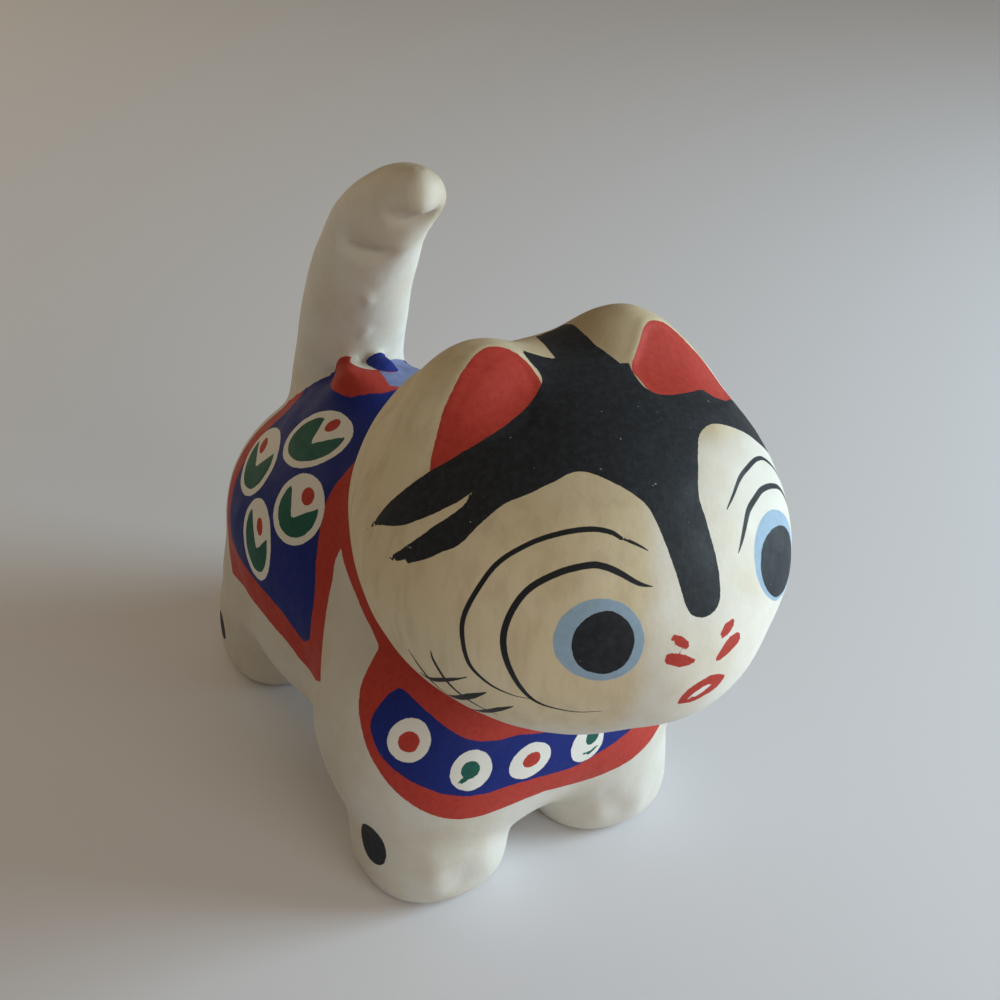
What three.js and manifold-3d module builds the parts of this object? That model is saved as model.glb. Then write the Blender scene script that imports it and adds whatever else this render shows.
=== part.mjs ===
// A moulded papier-mache animal: a big round head with two low ears on a plump body, four short
// trunk legs, a thick tail that stands up and curls forward, and a small drum moulded on the back.
// Everything is one closed piece. Millimetres, +Z up. The animal faces -Y and its left is +X. The
// origin is on the ground, under the middle of the figure's bounding box.
import * as THREE from 'three';
import { LoftGeometry } from 'three/addons/geometries/LoftGeometry.js';
import { mergeVertices } from 'three/addons/utils/BufferGeometryUtils.js';
import Module from 'manifold-3d';

// ---- driving dimensions, mm ----
const HEAD = {
  centre: new THREE.Vector3(0, -33.75, 83), // middle of the head
  pitch: 0.197, // the face is tipped down by this angle, rad
  halfWidth: 37.4,
  halfDepth: 38.0,
  below: 34.2, // half-height of the cheeks and chin
  above: 28.6, // half-height of the flatter crown
};
const EAR = {
  at: new THREE.Vector3(17, 10.1, 20.1), // middle of the left ear's mound, from the head's middle
  radii: new THREE.Vector3(14.2, 10.8, 8.1), // along its ridge, front to back, upwards
  droop: 0.46, // the ridge falls outwards by this angle, rad
  sweep: 0.57, // the outer end is swept forwards by this angle, rad
  blend: 4.6,
  scoop: {
    at: new THREE.Vector3(17.5, 0.5, 37), // middle of the hollow pressed into the ear's front
    radii: new THREE.Vector3(13.5, 10.5, 10.4),
    blend: 2.5,
  },
};
const NAPE = { // a shallow dip behind the crown, between the ears
  at: new THREE.Vector3(0, 38.8, 28.7),
  radii: new THREE.Vector3(21.6, 16.6, 16.6),
  blend: 4.9,
};
const MUZZLE = {
  at: new THREE.Vector3(0, -31.5, -2.5),
  radii: new THREE.Vector3(12.5, 8.5, 9),
  blend: 7,
};
const BODY = {
  barrel: { centre: new THREE.Vector3(0, 26.6, 44.4), radii: new THREE.Vector3(34.8, 46.8, 26.2) },
  belly: { centre: new THREE.Vector3(0, 22, 27), radii: new THREE.Vector3(34.5, 36, 15.5) },
  chest: { centre: new THREE.Vector3(0, -12.55, 32), radii: new THREE.Vector3(37.8, 26.6, 26.8) },
  withers: { centre: new THREE.Vector3(0, 22, 53), radii: new THREE.Vector3(25.5, 35, 23.5) },
  neck: { centre: new THREE.Vector3(0, -10, 62), radii: new THREE.Vector3(23.5, 23, 21) },
  // under the drum
  saddle: { centre: new THREE.Vector3(-1.5, 34, 64.5), radii: new THREE.Vector3(14.5, 13, 12) },
  middle: new THREE.Vector3(0, 12, 42), // the rays that shape the body start here
  blend: 9,
};
const LEGS = {
  height: 34, // to the top of the dome that ends the leg inside the body
  shoulder: 12, // the dome starts here
  fore: { x: 19.4, y: -20.85, radius: 16 },
  hind: { x: 18.4, y: 50.35, radius: 14.6 },
  widest: 0.5, // height of the foot's widest ring, as a share of its radius
  corner: 2.5, // superellipse exponent of the sole's outline
};
const SHOULDER = { inwards: 0.9, back: 0.93, height: 23, wide: 1.1, tall: 20, blend: 9 };
const TAIL = {
  // the middle line in the plane of symmetry, [y, z], and the radius at each point
  line: [
    [53, 58], [51.8, 68], [48.6, 80], [45, 91],
    [40.4, 101.5], [33.4, 111.2], [25.2, 118.4], [18.2, 122.2],
  ],
  radii: [12.6, 11.8, 11.3, 11, 10.4, 9.3, 7.5, 5.1],
  tip: 4.8, // length of the rounded end
};
const DRUM = {
  top: new THREE.Vector3(-0.6, 33.6, 79.5), // middle of its upper face
  lean: 0.33, // towards the animal's left, rad
  tip: -0.1, // forwards, rad
  height: 12, // half of it is inside the body
  halfWidth: 10,
  halfDepth: 7,
  edge: 1.2,
  knob: 3.4,
  knobSink: 0.8,
};
const FARTHEST = 80; // no part of the head or body is farther from its middle
const SEGMENTS = {
  head: [56, 36],
  body: [54, 33],
  leg: 24,
  legRings: 9,
  tail: 22,
  tailRings: 18,
  tipRings: 4,
  drum: 28,
  knob: [16, 10],
};

// ---- signed distances, mm ----
const ellipsoid = (p, centre, radii) => {
  const scaled = p.clone().sub(centre).divide(radii);
  const length = scaled.length();
  return length * (length - 1) / Math.max(scaled.divide(radii).length(), 1e-9);
};

const blend = (a, b, width) => {
  const share = THREE.MathUtils.clamp(0.5 + 0.5 * (b - a) / width, 0, 1);
  return b * (1 - share) + a * share - width * share * (1 - share);
};

const carve = (a, b, width) => -blend(-a, b, width);

// The head in its own frame: -Y is the face, +Z the crown.
const ORIGIN = new THREE.Vector3();
const SKULL_TOP = new THREE.Vector3(HEAD.halfWidth, HEAD.halfDepth, HEAD.above);
const SKULL_LOW = new THREE.Vector3(HEAD.halfWidth, HEAD.halfDepth, HEAD.below);
const earFrame = new THREE.Matrix4().makeRotationZ(-EAR.sweep)
  .multiply(new THREE.Matrix4().makeRotationY(EAR.droop)).invert();

const headField = (p) => {
  let d = ellipsoid(p, ORIGIN, p.z > 0 ? SKULL_TOP : SKULL_LOW);
  d = carve(d, ellipsoid(p, NAPE.at, NAPE.radii), NAPE.blend);
  d = blend(d, ellipsoid(p, MUZZLE.at, MUZZLE.radii), MUZZLE.blend);
  for (const side of [-1, 1]) {
    const q = new THREE.Vector3(side * p.x, p.y, p.z).sub(EAR.at).applyMatrix4(earFrame);
    d = blend(d, ellipsoid(q, ORIGIN, EAR.radii), EAR.blend);
    const hollow = new THREE.Vector3(side * p.x, p.y, p.z);
    d = carve(d, ellipsoid(hollow, EAR.scoop.at, EAR.scoop.radii), EAR.scoop.blend);
  }
  return d;
};

const bodyField = (p) => {
  let d = ellipsoid(p, BODY.barrel.centre, BODY.barrel.radii);
  for (const part of [BODY.withers, BODY.neck, BODY.chest, BODY.belly, BODY.saddle]) {
    d = blend(d, ellipsoid(p, part.centre, part.radii), BODY.blend);
  }
  for (const foot of [LEGS.fore, LEGS.hind]) {
    const top = new THREE.Vector3(foot.x * SHOULDER.inwards, foot.y * SHOULDER.back, SHOULDER.height);
    const reach = foot.radius * SHOULDER.wide;
    const mirrored = new THREE.Vector3(Math.abs(p.x), p.y, p.z);
    d = blend(d, ellipsoid(mirrored, top, new THREE.Vector3(reach, reach, SHOULDER.tall)), SHOULDER.blend);
  }
  return d;
};

// A sphere whose every vertex is pushed out from `middle` to where `field` is last zero.
const inflate = (field, middle, [around, down]) => {
  const geometry = new THREE.SphereGeometry(1, around, down).rotateX(Math.PI / 2);
  const position = geometry.attributes.position;
  const direction = new THREE.Vector3();
  const point = new THREE.Vector3();
  for (let i = 0; i < position.count; i += 1) {
    direction.fromBufferAttribute(position, i).normalize();
    const inside = (reach) => field(point.copy(direction).multiplyScalar(reach).add(middle)) < 0;
    let near = FARTHEST;
    while (!inside(near)) near -= 1;
    let far = near + 1;
    for (let step = 0; step < 20; step += 1) {
      const reach = (near + far) / 2;
      if (inside(reach)) near = reach;
      else far = reach;
    }
    position.setXYZ(i, point.x, point.y, point.z);
  }
  return geometry;
};

// ---- the pieces of the form ----
const makeHead = () => {
  const place = new THREE.Matrix4().makeRotationX(HEAD.pitch).setPosition(HEAD.centre);
  return inflate(headField, ORIGIN, SEGMENTS.head).applyMatrix4(place);
};

const makeBody = () => inflate(bodyField, BODY.middle, SEGMENTS.body);

// One ring of a superellipse, level at height z.
const levelRing = (x, y, z, halfWidth, halfDepth, exponent, segments) => {
  const ring = [];
  for (let i = 0; i < segments; i += 1) {
    const angle = 2 * Math.PI * i / segments;
    const c = Math.cos(angle);
    const s = Math.sin(angle);
    const reach = (Math.abs(c) ** exponent + Math.abs(s) ** exponent) ** (-1 / exponent);
    ring.push(new THREE.Vector3(x + halfWidth * reach * c, y + halfDepth * reach * s, z));
  }
  return ring;
};

// A short trunk: a flat sole, a rounded foot, and a dome inside the body's shoulder mass.
const makeLeg = (side, foot) => {
  const widest = foot.radius * LEGS.widest;
  const rings = [];
  for (let step = 0; step < SEGMENTS.legRings; step += 1) {
    const z = LEGS.height * (step / SEGMENTS.legRings) ** 1.15;
    const dome = Math.max(z - LEGS.shoulder, 0) / (LEGS.height - LEGS.shoulder);
    const radius = Math.sqrt(foot.radius ** 2 - Math.max(widest - z, 0) ** 2) * Math.sqrt(1 - dome ** 2);
    const exponent = THREE.MathUtils.lerp(LEGS.corner, 2, Math.min(z / widest, 1));
    rings.push(levelRing(side * foot.x, foot.y, z, radius, radius, exponent, SEGMENTS.leg));
  }
  return new LoftGeometry(rings, { closed: true, capStart: true, capEnd: true });
};

const makeTail = () => {
  const points = TAIL.line.map(([y, z], i) => new THREE.Vector3(TAIL.radii[i], y, z));
  const curve = new THREE.CatmullRomCurve3(points); // x carries the radius along with the line
  const rings = [];
  const addRing = (y, z, slope, radius) => {
    const ring = [];
    for (let i = 0; i < SEGMENTS.tail; i += 1) {
      const angle = 2 * Math.PI * i / SEGMENTS.tail;
      const across = radius * Math.sin(angle);
      const x = radius * Math.cos(angle);
      ring.push(new THREE.Vector3(x, y + across * Math.sin(slope), z - across * Math.cos(slope)));
    }
    rings.push(ring);
  };
  const last = new THREE.Vector3();
  let slope = 0;
  for (let step = 0; step <= SEGMENTS.tailRings; step += 1) {
    const t = step / SEGMENTS.tailRings;
    curve.getPoint(t, last);
    const tangent = curve.getTangent(t);
    slope = Math.atan2(tangent.z, tangent.y);
    addRing(last.y, last.z, slope, last.x);
  }
  for (let step = 1; step <= SEGMENTS.tipRings; step += 1) {
    const angle = Math.PI / 2 * step / (SEGMENTS.tipRings + 0.4); // a small flat is left at the end
    const along = TAIL.tip * Math.sin(angle);
    const radius = last.x * Math.cos(angle);
    addRing(last.y + along * Math.cos(slope), last.z + along * Math.sin(slope), slope, radius);
  }
  return new LoftGeometry(rings, { closed: true, capStart: true, capEnd: true });
};

const drumPlace = new THREE.Matrix4().makeRotationY(DRUM.lean)
  .multiply(new THREE.Matrix4().makeRotationX(DRUM.tip)).setPosition(DRUM.top);

const makeDrum = () => {
  const ring = (z, inset) => levelRing(
    0, 0, z, DRUM.halfWidth - inset, DRUM.halfDepth - inset, 2, SEGMENTS.drum,
  );
  const rings = [
    ring(-DRUM.height, 0),
    ring(-DRUM.edge, 0),
    ring(-DRUM.edge * 0.3, DRUM.edge * 0.3),
    ring(0, DRUM.edge),
  ];
  return new LoftGeometry(rings, { closed: true, capStart: true, capEnd: true }).applyMatrix4(drumPlace);
};

const makeKnob = () => new THREE.SphereGeometry(DRUM.knob, ...SEGMENTS.knob)
  .translate(0, 0, -DRUM.knobSink).applyMatrix4(drumPlace);

// ---- joining ----
const wasm = await Module();
wasm.setup();

const toSolid = (geometry) => {
  geometry.deleteAttribute('normal');
  geometry.deleteAttribute('uv');
  const merged = mergeVertices(new THREE.BufferGeometry().copy(geometry), 1e-4);
  return new wasm.Manifold(new wasm.Mesh({
    numProp: 3,
    vertProperties: new Float32Array(merged.attributes.position.array),
    triVerts: new Uint32Array(merged.index.array),
  }));
};

const toGeometry = (solid) => {
  const mesh = solid.getMesh();
  const geometry = new THREE.BufferGeometry();
  geometry.setAttribute('position', new THREE.BufferAttribute(mesh.vertProperties, mesh.numProp));
  geometry.setIndex(new THREE.BufferAttribute(mesh.triVerts, 1));
  geometry.computeVertexNormals();
  return geometry;
};

const forms = [makeHead(), makeBody(), makeTail(), makeDrum(), makeKnob()];
for (const side of [-1, 1]) {
  forms.push(makeLeg(side, LEGS.fore));
  forms.push(makeLeg(side, LEGS.hind));
}
const figure = forms.map(toSolid).reduce((whole, form) => whole.add(form));

const whitePaint = new THREE.MeshStandardMaterial({ color: 0xd9d2c0, roughness: 0.55, metalness: 0 });
const shell = new THREE.Mesh(toGeometry(figure), whitePaint);
shell.name = 'papier_mache_shell';

const group = new THREE.Group();
group.add(shell);
export default group;
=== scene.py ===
"""A papier-mache cat: a moulded shell, primed with chalky white and painted by hand.

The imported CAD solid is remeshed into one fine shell, given its soft folds and lumps, and painted with
fields kept on its vertices: each is a distance in millimetres to a painted edge, or a share from 0 to 1.
The material turns them into brushed colour. Shapes and paint are worked out in millimetres, objects are
in metres.
"""
import math

import bpy
import numpy as np
from mathutils import Matrix, Vector, noise


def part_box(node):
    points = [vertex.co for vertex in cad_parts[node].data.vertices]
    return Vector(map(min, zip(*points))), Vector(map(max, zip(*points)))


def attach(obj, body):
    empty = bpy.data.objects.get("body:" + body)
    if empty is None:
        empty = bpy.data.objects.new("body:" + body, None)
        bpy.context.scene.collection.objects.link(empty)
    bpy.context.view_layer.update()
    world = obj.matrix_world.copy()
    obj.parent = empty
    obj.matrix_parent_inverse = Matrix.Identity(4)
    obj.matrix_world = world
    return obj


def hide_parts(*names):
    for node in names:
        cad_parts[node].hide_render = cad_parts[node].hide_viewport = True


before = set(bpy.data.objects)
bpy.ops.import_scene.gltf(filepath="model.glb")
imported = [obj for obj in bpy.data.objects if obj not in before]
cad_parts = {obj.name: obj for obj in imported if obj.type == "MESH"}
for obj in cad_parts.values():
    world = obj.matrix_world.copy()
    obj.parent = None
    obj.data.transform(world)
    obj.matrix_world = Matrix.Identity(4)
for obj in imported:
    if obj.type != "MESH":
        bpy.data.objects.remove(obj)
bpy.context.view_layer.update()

MM = 0.001
NODE = "papier_mache_shell"
low, high = (np.array(corner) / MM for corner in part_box(NODE))
FRONT, GROUND = low[1], low[2]  # the tip of the nose and the soles

# ---- the form's own measures, mm ----
HEAD_MIDDLE = np.array([0, FRONT + 39.9, GROUND + 83])
HEAD_PITCH = 0.197  # the face is tipped down, rad
HEAD_RADII = (37.4, 38.0, 34.2)  # half-width, half-depth and the half-height of the cheeks
CROWN_HEIGHT = 28.6
MUZZLE_AT, MUZZLE_RADII, MUZZLE_BLEND = (0, -31.5, -2.5), (12.5, 8.5, 9), 7
DRUM_AT, DRUM_LEAN, DRUM_TIP = np.array([-0.6, FRONT + 107.3, GROUND + 79.5]), 0.33, -0.1
DRUM_HALF_WIDTH, DRUM_HALF_DEPTH, DRUM_MEAN_RADIUS = 10, 7, 8
DRUM_WALL = 6.0  # the part of its height that stands clear of the back
KNOB_RADIUS, KNOB_SINK = 3.4, 0.8
TAIL_LINE = [  # the lower tail: y from the nose, height, radius
    (126.6, 58, 12.6), (125.4, 68, 11.8), (122.2, 80, 11.3), (118.6, 91, 11),
]

# ---- how finely things are worked out ----
VOXEL = 0.83
CURVE_STEPS, RING_POINTS = 8, 40
FAR = 9.0  # paint farther than this from an edge is all one value, mm
STROKE_REACH = 3.0  # how far round a brush line its field is worked out, mm
STROKE_SLACK, STROKE_FALL = 1.2, 3  # past this far from its edge, a line's field falls this much faster
RELAX_SHARE, RELAX_ROUNDS = 0.5, 26  # how far towards the neighbours' average, and how often
FIRST_ROUNDS, CREASE_ROUNDS, HOLLOW_ROUNDS = 3, 4, 8  # before creases are found, to widen them, for the darkening in the hollows
CREASE_BEND = (0.35, 1.0)  # how sharply the surface turns where a crease begins, and where it is a full one
CREASE_HEIGHT = (44, 54)  # creases are kept above these heights only, mm
CREASE_HOLD = 0.9  # how much of the relaxing a full crease is spared


# ---- curves and fields ----
def through(points):
    """Points along a smooth curve through a few given ones."""
    points = np.array(points, float)
    points = np.vstack([2 * points[0] - points[1], points, 2 * points[-1] - points[-2]])
    out = []
    for i in range(len(points) - 3):
        a, b, c, d = points[i:i + 4]
        for t in np.arange(CURVE_STEPS) / CURVE_STEPS:
            out.append(0.5 * (2 * b + (c - a) * t + (2 * a - 5 * b + 4 * c - d) * t ** 2
                              + (3 * b - a - 3 * c + d) * t ** 3))
    out.append(points[-2])
    return np.array(out)


def outline(*runs):
    """A closed outline from smooth runs that meet at corners."""
    return np.vstack([through(run)[:-1] for run in runs])


def ring(centre, radii, tilt=0.0):
    """An ellipse, its first radius turned by tilt degrees."""
    turn = np.arange(RING_POINTS) / RING_POINTS * 2 * math.pi
    c, s = math.cos(math.radians(tilt)), math.sin(math.radians(tilt))
    x, y = radii[0] * np.cos(turn), radii[1] * np.sin(turn)
    return np.stack([centre[0] + x * c - y * s, centre[1] + x * s + y * c], 1)


def mirrored(points):
    return [(-u, v) for u, v in points][::-1]


def inside(chart, polygon):
    """Distance to a closed outline in a chart, positive inside it and never past FAR."""
    field = np.full(len(chart), -FAR)
    near = np.all((chart > polygon.min(0) - FAR) & (chart < polygon.max(0) + FAR), 1)
    p = chart[near]
    nearest = np.full(len(p), 1e9)
    odd = np.zeros(len(p), bool)
    for a, b in zip(polygon, np.roll(polygon, -1, 0)):
        edge, to = b - a, p - a
        share = np.clip(to @ edge / max(edge @ edge, 1e-12), 0, 1)
        nearest = np.minimum(nearest, ((to - share[:, None] * edge) ** 2).sum(1))
        spans = (a[1] > p[:, 1]) != (b[1] > p[:, 1])
        with np.errstate(divide="ignore", invalid="ignore"):
            crosses = p[:, 0] < (b[0] - a[0]) * (p[:, 1] - a[1]) / (b[1] - a[1]) + a[0]
        odd ^= spans & crosses
    field[near] = np.clip(np.sqrt(nearest), 0, FAR) * np.where(odd, 1, -1)
    return field


def brush_line(points, widths):
    """A brush's path, its direction and its half-width along the way."""
    line = through(points)
    half = np.interp(np.linspace(0, len(widths) - 1, len(line)), np.arange(len(widths)), widths)
    tangent = np.gradient(line, axis=0)
    return line, tangent / np.linalg.norm(tangent, axis=1, keepdims=True), half


def dab(points, widths):
    """The outline of one short, fat stroke with round ends."""
    line, tangent, half = brush_line(points, widths)
    half = half[:, None]
    across = np.stack([-tangent[:, 1], tangent[:, 0]], 1)
    turn = np.linspace(0, math.pi, 9)[1:-1, None]
    head = line[-1] + half[-1] * (across[-1] * np.cos(turn) + tangent[-1] * np.sin(turn))
    foot = line[0] - half[0] * (across[0] * np.cos(turn) + tangent[0] * np.sin(turn))
    return np.vstack([line + across * half, head, (line - across * half)[::-1], foot])


def brushed(chart, points, widths):
    """A brush stroke as (offset from its line, half-width there): it covers |offset| < half-width."""
    line, tangent, half = brush_line(points, widths)
    offset = np.full(len(chart), FAR)
    width = np.full(len(chart), -FAR)
    near = np.all((chart > line.min(0) - STROKE_REACH) & (chart < line.max(0) + STROKE_REACH), 1)
    p = chart[near]
    if not len(p):
        return offset, width
    pick = ((p[:, None, :] - line[None, :, :]) ** 2).sum(2).argmin(1)
    to = p - line[pick]
    along = (to * tangent[pick]).sum(1)
    side = to[:, 0] * tangent[pick, 1] - to[:, 1] * tangent[pick, 0]
    past = np.where((pick == 0) & (along < 0), -along, 0)
    past += np.where((pick == len(line) - 1) & (along > 0), along, 0)
    too_far = np.maximum(np.abs(side) - half[pick] - STROKE_SLACK, 0)
    offset[near] = side
    width[near] = half[pick] - past - too_far * STROKE_FALL
    return offset, width


def ellipsoid(p, centre, radii):
    """Roughly how far a point is outside an ellipsoid."""
    scaled = (p - np.array(centre)) / np.array(radii)
    length = np.linalg.norm(scaled, axis=1)
    return length * (length - 1) / np.maximum(np.linalg.norm(scaled / np.array(radii), axis=1), 1e-9)


def blended(a, b, width):
    """The union of two forms, with a fillet of this width."""
    share = np.clip(0.5 + 0.5 * (b - a) / width, 0, 1)
    return b * (1 - share) + a * share - width * share * (1 - share)


def smooth_step(value, start, end):
    t = np.clip((value - start) / (end - start), 0, 1)
    return t * t * (3 - 2 * t)


# ---- the shell ----
def remeshed_shell():
    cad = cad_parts[NODE]
    shell = bpy.data.objects.new("painted_cat", cad.data.copy())
    shell.data.materials.clear()
    bpy.context.scene.collection.objects.link(shell)
    remesh = shell.modifiers.new("remesh", "REMESH")
    remesh.mode = "VOXEL"
    remesh.voxel_size = VOXEL * MM
    remesh.use_smooth_shade = True
    depsgraph = bpy.context.evaluated_depsgraph_get()
    mesh = bpy.data.meshes.new_from_object(shell.evaluated_get(depsgraph))
    shell.modifiers.clear()
    shell.data = mesh
    return shell


def edge_average(values, edges):
    """Each vertex's neighbours' average."""
    count = len(values)
    degree = np.bincount(edges.ravel(), minlength=count)
    total = np.stack([
        np.bincount(edges[:, 0], values[edges[:, 1], k], count)
        + np.bincount(edges[:, 1], values[edges[:, 0], k], count)
        for k in range(values.shape[1])
    ], 1)
    return total / np.maximum(degree, 1)[:, None]


def smoothed(points, edges, rounds, share):
    """Moves each vertex by a share of the way to its neighbours' average, again and again."""
    for _ in range(rounds):
        points = points + share * (edge_average(points, edges) - points)
    return points


def normals_of(mesh, points):
    """Puts the mesh's vertices at these points and returns its normals there."""
    mesh.vertices.foreach_set("co", (points * MM).astype(np.float32).ravel())
    mesh.update()
    out = np.zeros(len(points) * 3, np.float32)
    mesh.vertex_normals.foreach_get("vector", out)
    return out.reshape(-1, 3).astype(float)


def relaxed(mesh, points, edges):
    """Smooths away the facets, and keeps the creases at neck, drum and tail tight."""
    points = smoothed(points, edges, FIRST_ROUNDS, RELAX_SHARE)
    normals = normals_of(mesh, points)
    pull = edge_average(points, edges) - points
    bend = (pull * normals).sum(1) / VOXEL ** 2 * 4  # about the sum of the two curvatures, 1/mm
    high_up = smooth_step(points[:, 2] - GROUND, *CREASE_HEIGHT)
    crease = (smooth_step(bend, *CREASE_BEND) * high_up)[:, None]
    for _ in range(CREASE_ROUNDS):
        crease = np.maximum(crease, edge_average(crease, edges))
    by_knob = smooth_step(outside_knob(drum_local(points)), 2, 0.8)[:, None]
    hold = CREASE_HOLD * np.maximum(crease, by_knob)
    return smoothed(points, edges, RELAX_ROUNDS, RELAX_SHARE * (1 - hold))


def head_local(p):
    """Head coordinates: -Y is the face, +Z the crown."""
    c, s = math.cos(HEAD_PITCH), math.sin(HEAD_PITCH)
    q = p - HEAD_MIDDLE
    return np.stack([q[:, 0], c * q[:, 1] + s * q[:, 2], -s * q[:, 1] + c * q[:, 2]], 1)


def outside_head(local):
    """Roughly how far a point is outside the head, without the ears."""
    crown = ellipsoid(local, (0, 0, 0), (HEAD_RADII[0], HEAD_RADII[1], CROWN_HEIGHT))
    cheeks = ellipsoid(local, (0, 0, 0), HEAD_RADII)
    skull = np.where(local[:, 2] > 0, crown, cheeks)
    return blended(skull, ellipsoid(local, MUZZLE_AT, MUZZLE_RADII), MUZZLE_BLEND)


def drum_local(p):
    """Drum coordinates: its upper face is Z = 0."""
    turn = Matrix.Rotation(DRUM_LEAN, 3, "Y") @ Matrix.Rotation(DRUM_TIP, 3, "X")
    return (p - DRUM_AT) @ np.array(turn)


def outside_knob(drum_p, shift=0.0):
    """How far a point in drum coordinates is outside the knob, or outside one shifted along X."""
    return np.linalg.norm(drum_p - np.array([shift, 0, -KNOB_SINK]), axis=1) - KNOB_RADIUS


def outside_tail(p):
    """How far a point is outside the lower tail."""
    gap = np.full(len(p), np.inf)
    for y, z, radius in through(TAIL_LINE):
        gap = np.minimum(gap, np.linalg.norm(p - np.array([0, y + FRONT, z + GROUND]), axis=1) - radius)
    return gap


# ---- charts: where a point is on the form, in mm along its surface ----
FACE_TILT = math.radians(35)
FACE_RADIUS = 38.0
GIRTH_HEIGHT, GIRTH_RADIUS = GROUND + 42, 30.0
CHEST_Y, CHEST_RADIUS = FRONT + 65.65, 32.0


def face_chart(local):
    """Over the head from a point on the forehead: u towards the cat's left, v towards the crown."""
    unit = local / np.linalg.norm(local, axis=1, keepdims=True)
    c, s = math.cos(FACE_TILT), math.sin(FACE_TILT)
    u, v, out = unit[:, 0], unit[:, 1] * s + unit[:, 2] * c, -unit[:, 1] * c + unit[:, 2] * s
    across = np.hypot(u, v)
    scale = np.arctan2(across, out) / np.maximum(across, 1e-9) * FACE_RADIUS
    return np.stack([u * scale, v * scale], 1)


def girth_chart(p):
    """Round the body from the spine: u down the cat's left flank, v towards the tail."""
    return np.stack([GIRTH_RADIUS * np.arctan2(p[:, 0], p[:, 2] - GIRTH_HEIGHT), p[:, 1]], 1)


def chest_chart(p):
    """Round the chest: u towards the cat's left, v upwards."""
    return np.stack([CHEST_RADIUS * np.arctan2(p[:, 0], CHEST_Y - p[:, 1]), p[:, 2] - GROUND], 1)


# ---- the painted design, mm in the charts ----
EAR_BASE = [(-42.1, 24.5), (-38.3, 26.1), (-33, 28.4), (-26.4, 31.8), (-17.9, 37), (-12.7, 41.2)]
EAR_BASE_LEFT = [
    (12.7, 38), (11.9, 35.8), (11.6, 32.8), (13.5, 30.6), (16.8, 29), (23.9, 27.7), (28.8, 26.8),
    (31.5, 24), (36, 21.5),
]
EAR_RED_RIGHT = outline(
    [(-12.7, 41.2), (-12.5, 43.5), (-13, 46.6), (-13.9, 48.2), (-15.8, 49.4), (-18.3, 49.4), (-20.9, 48.6),
     (-23.6, 46.8), (-26.5, 44.4), (-29.8, 41.3), (-34.8, 36), (-39.9, 29), (-42.1, 24.5)],
    [(-42.1, 24.5), (-36, 24), (-20, 31), (-12.7, 41.2)],
)
EAR_RED_LEFT = outline(
    [(12.7, 38), (14.6, 40), (17.2, 41.5), (20.2, 43.1), (23.4, 44.5), (26.6, 44.6), (31.5, 42.2),
     (36, 36.8), (40, 30), (43, 20.5)],
    [(43, 20.5), (28, 21), (13, 27), (12.7, 38)],
)
TAIL_STROKES = [  # the two brush tails of the mask's right branch, from the ear's end round to the cheek
    [(-42.1, 24.5), (-49.3, 21), (-53.7, 18.1), (-57, 15.3), (-61.5, 12)],
    [(-61.5, 12), (-58.4, 13.7), (-56.5, 14.2)],
    [(-56.5, 14.2), (-50.1, 13.5), (-45.7, 14.3), (-40.8, 15.8), (-36.6, 17.5), (-32.6, 20)],
    [(-32.6, 20), (-34.6, 18.6), (-37.5, 15.6), (-41.9, 13.2), (-46.4, 10.6), (-49.6, 8.8), (-54.5, 6.1)],
    [(-54.5, 6.1), (-52, 5.7), (-49.8, 6.1)],
    [(-49.8, 6.1), (-49.5, 5.2)],
    [(-49.5, 5.2), (-45.9, 5.9), (-42.3, 7.1), (-38.7, 8.3), (-34.8, 11.6), (-29.8, 14.8), (-27, 15.4)],
]
TAIL_STROKES_LEFT = [
    [(36, 21.5), (42, 20.6), (49.3, 17.5), (53.7, 14.6), (57, 11.8), (61.5, 8.5)],
    [(61.5, 8.5), (58.4, 10.2), (56.5, 10.7)],
    [(56.5, 10.7), (51, 10.6), (46.5, 12), (43, 14.5)],
    [(43, 14.5), (46, 10.8), (49.6, 7.6), (54.5, 3)],
    [(54.5, 3), (52, 2.6), (49.8, 3)],
    [(49.8, 3), (45.9, 3.4), (42.3, 4.6), (38.7, 6.8), (34, 11)],
]
LOBE_RIGHT = [(-27, 15.4), (-20.5, 17), (-16.9, 18), (-14, 17.6), (-10, 14.4), (-6.6, 10.6), (-4.9, 7.5),
              (-4.4, 3.3), (-4, -1.8), (-3.4, -6.9), (-3.2, -8.9)]
NOSE_END = [(-3.2, -8.9), (-2.4, -10.7), (-1, -11.7), (0.7, -12), (2.5, -11.6), (3.7, -10.3), (4.2, -8.8)]
LOBE_LEFT = [(4.2, -8.8), (4.8, -4), (5, 0), (5.4, 3.8), (6, 7), (8.9, 11.6), (12.9, 16.3), (15.8, 18.2),
             (20.6, 18.8), (25, 17.2), (29.6, 14.4), (34, 11)]
MASK = outline(
    EAR_BASE,
    [(-12.7, 41.2), (-11.7, 42.4), (-11.2, 44.9), (-11.6, 47.9), (-11.3, 51.7)],
    [(-11.3, 51.7), (-7.8, 50.6), (-3.4, 48.9)],
    [(-3.4, 48.9), (-1.7, 54.5), (0, 59), (2.2, 62.4)],
    [(2.2, 62.4), (4.6, 62), (6.4, 62.8)],
    [(6.4, 62.8), (9.4, 61.4), (12.3, 61)],
    [(12.3, 61), (11.4, 57), (10.3, 53.9), (9.8, 50.9), (9.6, 48.4), (10.3, 45.5), (11.4, 41.2)],
    [(11.4, 41.2), (13.8, 40.4)],
    [(13.8, 40.4), (12.7, 38)],
    EAR_BASE_LEFT,
    *TAIL_STROKES_LEFT,
    LOBE_LEFT[::-1],
    NOSE_END[::-1],
    LOBE_RIGHT[::-1],
    *[run[::-1] for run in TAIL_STROKES[::-1]],
)
EYES = [  # the pale disc's middle, radii and tilt, then the pupil's
    ((-18.1, -11.7), (7.5, 6.95), -45, ((-17.5, -12.2), (5.0, 5.45), 0)),
    ((21.4, -8.8), (8.2, 7.9), 0, ((21.4, -10), (6.9, 6.1), 0)),
]
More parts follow.
